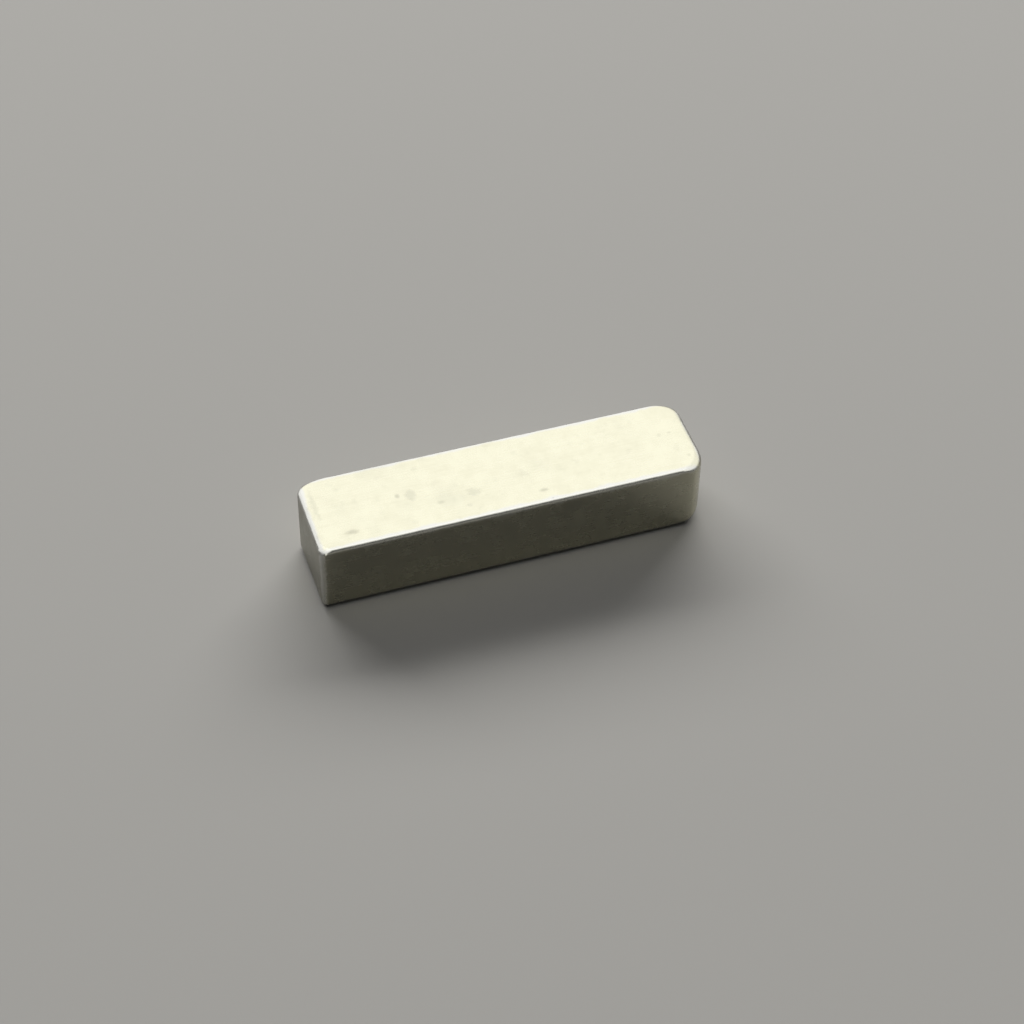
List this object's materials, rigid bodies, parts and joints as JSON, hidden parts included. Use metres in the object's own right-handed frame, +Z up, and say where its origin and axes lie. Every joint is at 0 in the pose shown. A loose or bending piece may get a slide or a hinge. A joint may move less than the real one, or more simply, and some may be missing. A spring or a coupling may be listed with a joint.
{
  "type": "parallel key",
  "caption": "Square-ended parallel key: a short rectangular steel bar with eased edges and rounded corners that locks a hub to a shaft.",
  "frame": {"origin": "centre of the seat face, the flat underside that lies in the shaft's keyseat", "axes": "+X along the key, +Y across its width from one driving flank to the other, +Z up out of the keyseat towards the hub"},
  "size_m": [0.04, 0.01, 0.008],
  "materials": {
    "key_steel": "satin, tumbled, with light stains and small nicks"
  },
  "bodies": {
    "root": {"parallel_key": "key_steel"}
  },
  "joints": []
}
